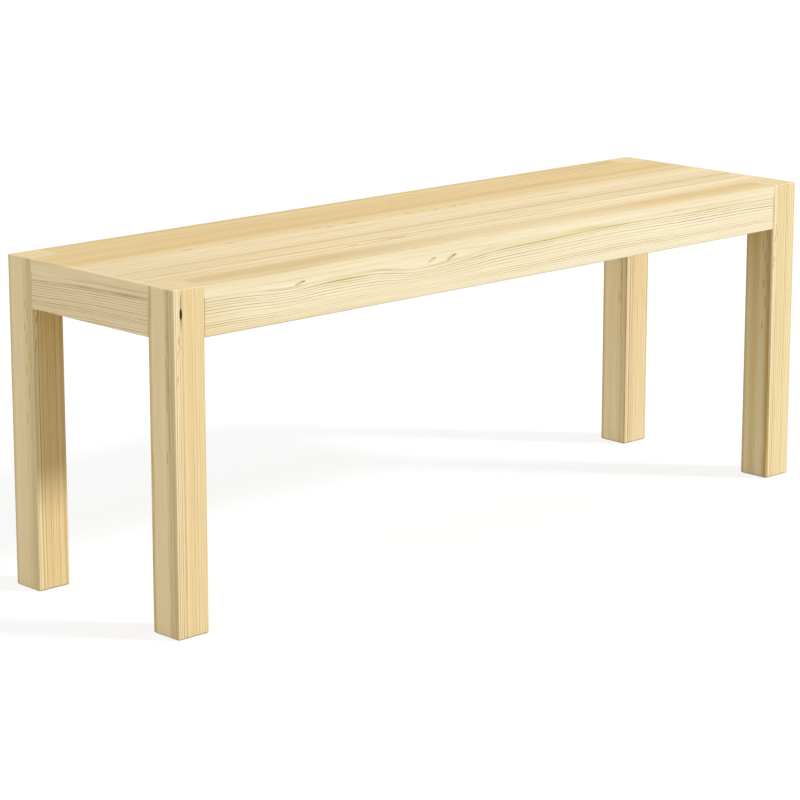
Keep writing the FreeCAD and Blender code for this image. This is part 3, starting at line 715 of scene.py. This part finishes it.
def hanger_bolt(length):
    """A headless bolt along +Z: a core plus a saw wave along the helix, times a bevel at the blunt end,
    which takes the nut, and a taper to the point, which goes into the leg."""
    turns = around(BOLT_SIDES)
    level = np.linspace(0, length, int(length / BOLT_PITCH * RINGS_PER_TURN))[:, None]
    point = np.clip((length - level) / BOLT_POINT, 0, 1)
    chamfer = np.clip(BOLT_END_SHARE + (1 - BOLT_END_SHARE) * level / BOLT_CHAMFER, 0, 1)
    ridge = saw(level, turns, BOLT_PITCH) * BOLT_THREAD_DEPTH
    body = round_rings((BOLT_RADIUS - BOLT_THREAD_DEPTH + ridge) * point * chamfer, level, turns)
    cap = round_rings(np.array([[0.0]]), 0.0, turns)
    return np.concatenate([cap, body])


def hexagon_nut():
    """A nut along +Z: six flats, with both faces cut off by a cone so that the corners are rounded down."""
    turns = around(NUT_SIDES)
    flat = NUT_ACROSS_FLATS / 2
    outline = flat / np.cos(turns % (math.pi / 3) - math.pi / 6)
    land = flat * NUT_LAND_SHARE
    drop = np.maximum(outline - land, 0) * math.tan(NUT_CHAMFER)
    bore = BOLT_RADIUS + NUT_CLEARANCE
    mouth = bore + NUT_MOUTH
    radii = [bore, mouth, land, outline, outline, land, mouth, bore]
    heights = [NUT_MOUTH, 0.0, 0.0, drop, NUT_HEIGHT - drop, NUT_HEIGHT, NUT_HEIGHT, NUT_HEIGHT - NUT_MOUTH]
    return np.concatenate([round_rings(radius, height, turns) for radius, height in zip(radii, heights)])


def flat_washer():
    """A washer along +Z: a ring whose first face is bevelled at the bore and at the rim."""
    turns = around(WASHER_SIDES)
    radii = [WASHER_BORE, WASHER_BORE + WASHER_BORE_BREAK, WASHER_RADIUS - WASHER_ROUND_WIDTH,
             WASHER_RADIUS, WASHER_RADIUS, WASHER_BORE]
    heights = [WASHER_BORE_BREAK, 0.0, 0.0, WASHER_ROUND_DROP, WASHER_THICKNESS, WASHER_THICKNESS]
    return np.concatenate([round_rings(radius, height, turns) for radius, height in zip(radii, heights)])


def mirrored(places, flips):
    """Each start and direction, with its mirror images for the given signs of x and y."""
    flipped = []
    for along, back in flips:
        sign = np.array((along, back, 1.0))
        flipped += [(sign * start, sign * direction) for start, direction in places]
    return flipped


# Where the fasteners go: all but the bearers' screws are given at the front or its left corner and mirrored

CORNERS = [(1, 1), (-1, 1), (1, -1), (-1, -1)]
SIDES = [(1, 1), (1, -1)]
UP = np.array((0.0, 0.0, 1.0))
TO_FRONT = np.array((0.0, -1.0, 0.0))
TO_LEFT = np.array((-1.0, 0.0, 0.0))
INTO_CORNER = np.array((-1.0, -1.0, 0.0)) / math.sqrt(2)

BLOCK_LEG_SIDE = 2 * LEG_WIDTH - LEG_FLAT_CUT
BLOCK_FREE_SIDE = BLOCK_LEG_SIDE + BLOCK_THICKNESS * math.sqrt(2)
BLOCK_MIDDLE = SEAT_UNDERSIDE - BLOCK_HEIGHT / 2
BLOCK_SCREW_PLACE = (BLOCK_LEG_SIDE + BLOCK_FREE_SIDE) / 2 - RAIL_THICKNESS
BATTEN_END = LEFT + BLOCK_FREE_SIDE - RAIL_THICKNESS + BATTEN_END_CLEARANCE
LAST_BATTEN_SCREW = BATTEN_END + BATTEN_SCREW_INSET
BOLT_STAND = WASHER_THICKNESS + NUT_HEIGHT + BOLT_PAST_NUT

block_screws = []
for level in (BLOCK_MIDDLE - BLOCK_SCREW_SPACING / 2, BLOCK_MIDDLE + BLOCK_SCREW_SPACING / 2):
    on_long_rail = np.array((LEFT + BLOCK_SCREW_PLACE, RAIL_INSIDE_Y + BLOCK_SCREW_SEAT, level))
    on_end_rail = np.array((RAIL_INSIDE_X + BLOCK_SCREW_SEAT, FRONT + BLOCK_SCREW_PLACE, level))
    block_screws += [(on_long_rail, TO_FRONT), (on_end_rail, TO_LEFT)]
fastener("countersunk_screws_in_corner_blocks", wood_screw(BLOCK_SCREW_SEAT + RAIL_BITE),
         mirrored(block_screws, CORNERS), "corner_block_screws")

batten_face = RAIL_INSIDE_Y + BATTEN_SIZE
batten_rail_screws = [(np.array((place, batten_face, SEAT_UNDERSIDE - BATTEN_SIZE / 2)), TO_FRONT)
                      for place in (LAST_BATTEN_SCREW, -BEARER_SPACING / 2, BEARER_SPACING / 2,
                                    -LAST_BATTEN_SCREW)]
fastener("countersunk_screws_batten_to_rail", wood_screw(BATTEN_SIZE + RAIL_BITE),
         mirrored(batten_rail_screws, SIDES), "batten_rail_screws")

batten_middle = RAIL_INSIDE_Y + BATTEN_SIZE / 2
batten_seat_screws = [(np.array((place, batten_middle, SEAT_UNDERSIDE - BATTEN_SIZE)), UP)
                      for place in BEARER_PLACES]
fastener("countersunk_screws_batten_to_seat", wood_screw(BATTEN_SIZE + SEAT_BITE),
         mirrored(batten_seat_screws, SIDES), "batten_seat_screws")

stave_middles = [LEG_INSIDE_Y + (number + 0.5) * WIDE_STAVE_WIDTH for number in range(WIDE_STAVES)]
bearer_screws = [(np.array((place, across, SEAT_UNDERSIDE - BEARER_HEIGHT)), UP)
                 for place in BEARER_PLACES for across in stave_middles]
fastener("countersunk_screws_bearer_to_seat", wood_screw(BEARER_HEIGHT + SEAT_BITE),
         bearer_screws, "bearer_screws")

on_block = np.array((LEFT + BLOCK_FREE_SIDE / 2, FRONT + BLOCK_FREE_SIDE / 2, BLOCK_MIDDLE))
bolt_start = on_block - INTO_CORNER * BOLT_STAND
washer_start = on_block - INTO_CORNER * WASHER_THICKNESS
nut_start = on_block - INTO_CORNER * (WASHER_THICKNESS + NUT_HEIGHT)
fastener("hanger_bolts_in_legs", hanger_bolt(BOLT_STAND + BLOCK_THICKNESS + BOLT_DEPTH_IN_LEG),
         mirrored([(bolt_start, INTO_CORNER)], CORNERS), "hanger_bolts")
fastener("flat_washers_on_blocks", flat_washer(),
         mirrored([(washer_start, INTO_CORNER)], CORNERS), "bolt_washers", closed=True)
fastener("hexagon_nuts_on_bolts", hexagon_nut(),
         mirrored([(nut_start, INTO_CORNER)], CORNERS), "bolt_nuts", closed=True)


# Stage: a pale floor, white surroundings, soft light from the front right, and the camera

WHITE = (1, 1, 1, 1)
# Light levels are shares of white, on a surface that faces the light
SKY_LEVEL = 0.60
KEY_LEVEL = 0.73
FILL_LEVEL = 0.22
TO_KEY = Vector((0.54, -0.64, 0.55))
TO_FILL = Vector((-0.8, 0.45, 0.4))
KEY_SOFTNESS = math.radians(8)
FILL_SOFTNESS = math.radians(60)
# The floor is a large square just above the feet's undersides, so that they are lit when seen from below
FLOOR_REACH = 30000.0 * MM
FLOOR_LEVEL = 0.3 * MM
FLOOR_TOOTH = 4.0
FLOOR_TOOTH_DEPTH = 0.1
FLOOR_TOOTH_STRENGTH = 0.1
FLOOR_BOUNCE = linear("B4AA8E")
FLOOR_SHADED = linear("888888")
FLOOR_GLOW = 0.78
# The camera stands to the left of the front
CAMERA_PLACE = Vector((-2859.3, -2952.6, 1170.8)) * MM
CAMERA_AROUND = math.radians(-43.528)
CAMERA_ABOVE = math.radians(12.652)
SENSOR_WIDTH = 36.0
FOCAL_LENGTH = 133.86
LENS_SHIFT = -0.055


def white_to_the_eye(tree):
    """1 for what the eye sees straight on, in a reflection or through glass, and 0 for light on its way."""
    path = add(tree, "LightPath")
    seen = add(tree, "Math", {0: path["Is Camera Ray"], 1: path["Is Glossy Ray"]}, operation="MAXIMUM")[0]
    return add(tree, "Math", {0: seen, 1: path["Is Transmission Ray"]}, operation="MAXIMUM")[0]


def pale_floor():
    """Matt white paper: white where it is lit, with a faint shadow, and clear when looked at from below."""
    material, tree, shader = new_material("matt_white_paper_floor")
    tree.nodes.remove(shader)
    place = add(tree, "TexCoord")["Object"]
    tooth = add(tree, "TexNoise", {"Vector": place, "Scale": 1 / (FLOOR_TOOTH * MM), "Detail": 2.0})[0]
    bump = add(tree, "Bump", {"Height": tooth, "Strength": FLOOR_TOOTH_STRENGTH,
                              "Distance": FLOOR_TOOTH_DEPTH * MM})[0]
    bounce = add(tree, "BsdfDiffuse", {"Color": FLOOR_BOUNCE, "Normal": bump})[0]
    shaded = add(tree, "BsdfDiffuse", {"Color": FLOOR_SHADED, "Normal": bump})[0]
    glow = add(tree, "Emission", {"Color": WHITE, "Strength": FLOOR_GLOW})[0]
    seen = add(tree, "AddShader", {0: shaded, 1: glow})[0]
    both = add(tree, "MixShader", {0: white_to_the_eye(tree), 1: bounce, 2: seen})[0]
    below = add(tree, "NewGeometry")["Backfacing"]
    clear = add(tree, "BsdfTransparent")[0]
    surface = add(tree, "MixShader", {0: below, 1: both, 2: clear})[0]
    tree.links.new(surface, tree.nodes["Material Output"].inputs["Surface"])
    return material


floor_mesh = bpy.data.meshes.new("floor")
floor_points = [(x * FLOOR_REACH, y * FLOOR_REACH, FLOOR_LEVEL)
                for x, y in ((-1, -1), (1, -1), (1, 1), (-1, 1))]
floor_mesh.from_pydata(floor_points, [], [(0, 1, 2, 3)])
floor_mesh.materials.append(pale_floor())
floor = bpy.data.objects.new("floor", floor_mesh)
bpy.context.scene.collection.objects.link(floor)

world = bpy.data.worlds.new("white_surroundings")
world.use_nodes = True
sky = world.node_tree.nodes["Background"]
seen = white_to_the_eye(world.node_tree)
level = add(world.node_tree, "MapRange", {"Value": seen, "To Min": SKY_LEVEL, "To Max": 1.0})[0]
world.node_tree.links.new(level, sky.inputs["Strength"])
sky.inputs["Color"].default_value = WHITE
bpy.context.scene.world = world

for name, towards, share, softness in (("key", TO_KEY, KEY_LEVEL, KEY_SOFTNESS),
                                       ("fill", TO_FILL, FILL_LEVEL, FILL_SOFTNESS)):
    light = bpy.data.lights.new(name, "SUN")
    light.energy = share * math.pi
    light.angle = softness
    lamp = bpy.data.objects.new(name, light)
    lamp.rotation_mode = "QUATERNION"
    lamp.rotation_quaternion = (-towards).to_track_quat("-Z", "Y")
    bpy.context.scene.collection.objects.link(lamp)

towards_camera = Vector((math.sin(CAMERA_AROUND) * math.cos(CAMERA_ABOVE),
                         -math.cos(CAMERA_AROUND) * math.cos(CAMERA_ABOVE), math.sin(CAMERA_ABOVE)))
lens = bpy.data.cameras.new("camera")
lens.sensor_width = SENSOR_WIDTH
lens.lens = FOCAL_LENGTH
lens.shift_y = LENS_SHIFT
camera = bpy.data.objects.new("camera", lens)
camera.location = CAMERA_PLACE
camera.rotation_mode = "QUATERNION"
camera.rotation_quaternion = (-towards_camera).to_track_quat("-Z", "Y")
bpy.context.scene.collection.objects.link(camera)
bpy.context.scene.camera = camera
bpy.context.scene.view_settings.view_transform = "Standard"
